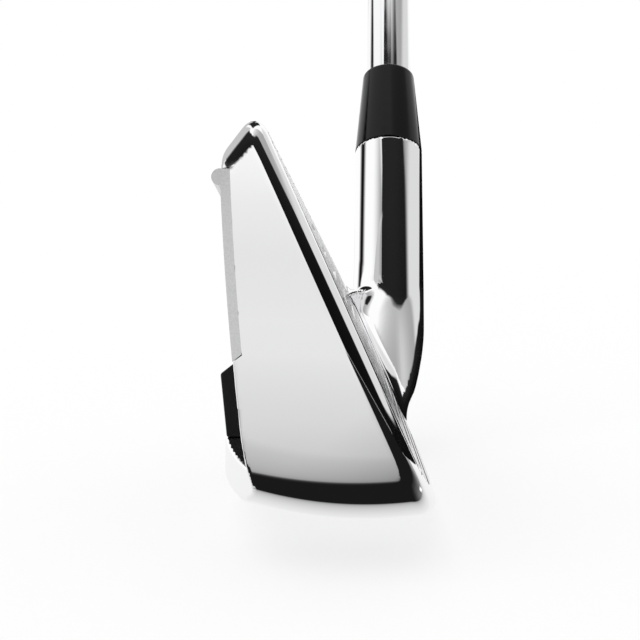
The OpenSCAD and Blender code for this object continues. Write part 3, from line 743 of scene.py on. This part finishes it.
standing_card("black_flag_side", [(58, -2, 46), (72, -2, 46), (80, -2, 42)], black,
              (0, 4, 0, 4), 400)
standing_card("black_flag_left", [(-133, 0, 34), (-103, 0, 34)], black, (12, 12, 4, 4))
standing_card("black_flag_heel", [
    (86, -10, 74), (89, -10, 72), (97, -10, 70), (104, -10, 65), (110.5, -10, 58.5),
    (116.5, -10, 53.5), (122, -10, 50), (126.5, -10, 47), (133, -10, 43), (138.5, -10, 41.5),
    (144.5, -10, 38.5), (150, -10, 39.5), (157, -10, 43.5), (164, -10, 47.5)], black,
    (0, 0, 0, 2), 28, heel_middle)
standing_card("black_flag_edge", [
    (121, -14, 8.5), (126.5, -14, 12.5), (133, -14, 16.5), (138, -14, 20.5), (146, -14, 25),
    (178, -14, 30)], black, (0, 0, 0, 1.5), 120, hosel_foot)
standing_card("black_flag_behind", [(-180, 14, 84), (-146, 14, 84)], black, (0, 8, 4, 4))
standing_card("black_flag_beyond", [(146, 44, 86), (180, 30, 86)], black, (6, 0, 6, 2))
standing_card("black_flag_low", [(76, -2, 10), (135, -2, 9)], black, (0, 0, 0, 2), 520)

# Grey boards that shade the white between the flags, and a small white card for the glint
# at the end of the leading edge.
standing_card("grey_toe_card", [(-178, 2, 46), (-140, 2, 46), (-130, 2, 80), (-92, 2, 80)],
              ((0, 0.56),), (10, 14, 5, 5), 76, toe_peak)
standing_card("grey_front_card", [(-38, -2, 40), (-12, -2, 40), (-4, -2, 44), (10, -2, 46),
                                  (19, -2, 46)],
              ((-2, 0.81), (2, 0.80), (13, 0.79), (24, 0.84), (33, 0.92), (45, 1)),
              (20, 0, 0, 3), 1520)
standing_card("grey_left_card", [(-82, 20, 57), (-39, 20, 57)], ((0, 0.35),), (43, 0, 6, 3), 1520)
standing_card("grey_high_card", [(5, 32, 88), (114, 32, 88)],
              ((36, 0.5), (44, 0.38), (54, 0.42), (63, 0.5), (70, 0.6), (78, 0.8), (84, 1)),
              (40, 2, 10, 4), 1540)
standing_card("grey_right_card", [(70, -2, 50), (150, -2, 50)], ((0, 0.72),), (0, 20, 0, 10), 1560)
standing_card("white_glint_card", [(93, -43, -29), (107, -43, -29)], ((0, 1.2),), (4, 4, 4, 4),
              12, edge_end)

# The world lights the sweep evenly; camera and metal see it as plain white.
world = bpy.data.worlds.new("white_studio")
bpy.context.scene.world = world
world.use_nodes = True
tree = world.node_tree
background = tree.nodes["Background"]
background.inputs["Color"].default_value = white
path = add_node(tree, "ShaderNodeLightPath")
seen = add_node(tree, "ShaderNodeMath", {0: path.outputs["Is Camera Ray"],
                                         1: path.outputs["Is Glossy Ray"]}, operation="ADD")
seen = add_node(tree, "ShaderNodeMath", {0: seen.outputs[0],
                                         1: path.outputs["Is Transmission Ray"]}, operation="ADD")
level = add_node(tree, "ShaderNodeMapRange", {"Value": seen.outputs[0]}, to_min=0.8, to_max=1.0)
tree.links.new(level.outputs["Result"], background.inputs["Strength"])

key = bpy.data.objects.new("soft_key", bpy.data.lights.new("soft_key", "SUN"))
key.data.energy, key.data.angle = 0.8, math.radians(60)
key.location = to_frame((-700, -900, 1500))
key_aim = Vector(to_frame((0, -40, 20))) - key.location
key.rotation_euler = key_aim.to_track_quat("-Z", "Y").to_euler()
key.visible_glossy = False
bpy.context.scene.collection.objects.link(key)
bpy.context.scene.view_settings.view_transform = "Standard"

# ---- Camera ----------------------------------------------------------------
# Close to the toe and a little above the ground, looking along the blade. Its place,
# turn and lens were fitted to the edges of the hosel, the ferrule and the blade.
camera_at, focal_px, image_px = (-12.4901, -223.8798, 46.5358), 1197.159, 640
yaw, pitch, roll, sensor_width = -0.0048961, -0.0950191, 0.0199871, 36
forward = Vector((math.sin(yaw) * math.cos(pitch), math.cos(yaw) * math.cos(pitch),
                  math.sin(pitch)))
right = Vector((math.cos(yaw), -math.sin(yaw), 0))
up = right.cross(forward)
right, up = (math.cos(roll) * right + math.sin(roll) * up,
             -math.sin(roll) * right + math.cos(roll) * up)
camera = bpy.data.objects.new("camera", bpy.data.cameras.new("camera"))
bpy.context.scene.collection.objects.link(camera)
camera.matrix_world = (Matrix.Translation(to_frame(camera_at))
                       @ Matrix((right, up, -forward)).transposed().to_4x4())
camera.data.sensor_width = sensor_width
camera.data.lens = sensor_width * focal_px / image_px
camera.data.clip_start = 0.01
bpy.context.scene.camera = camera
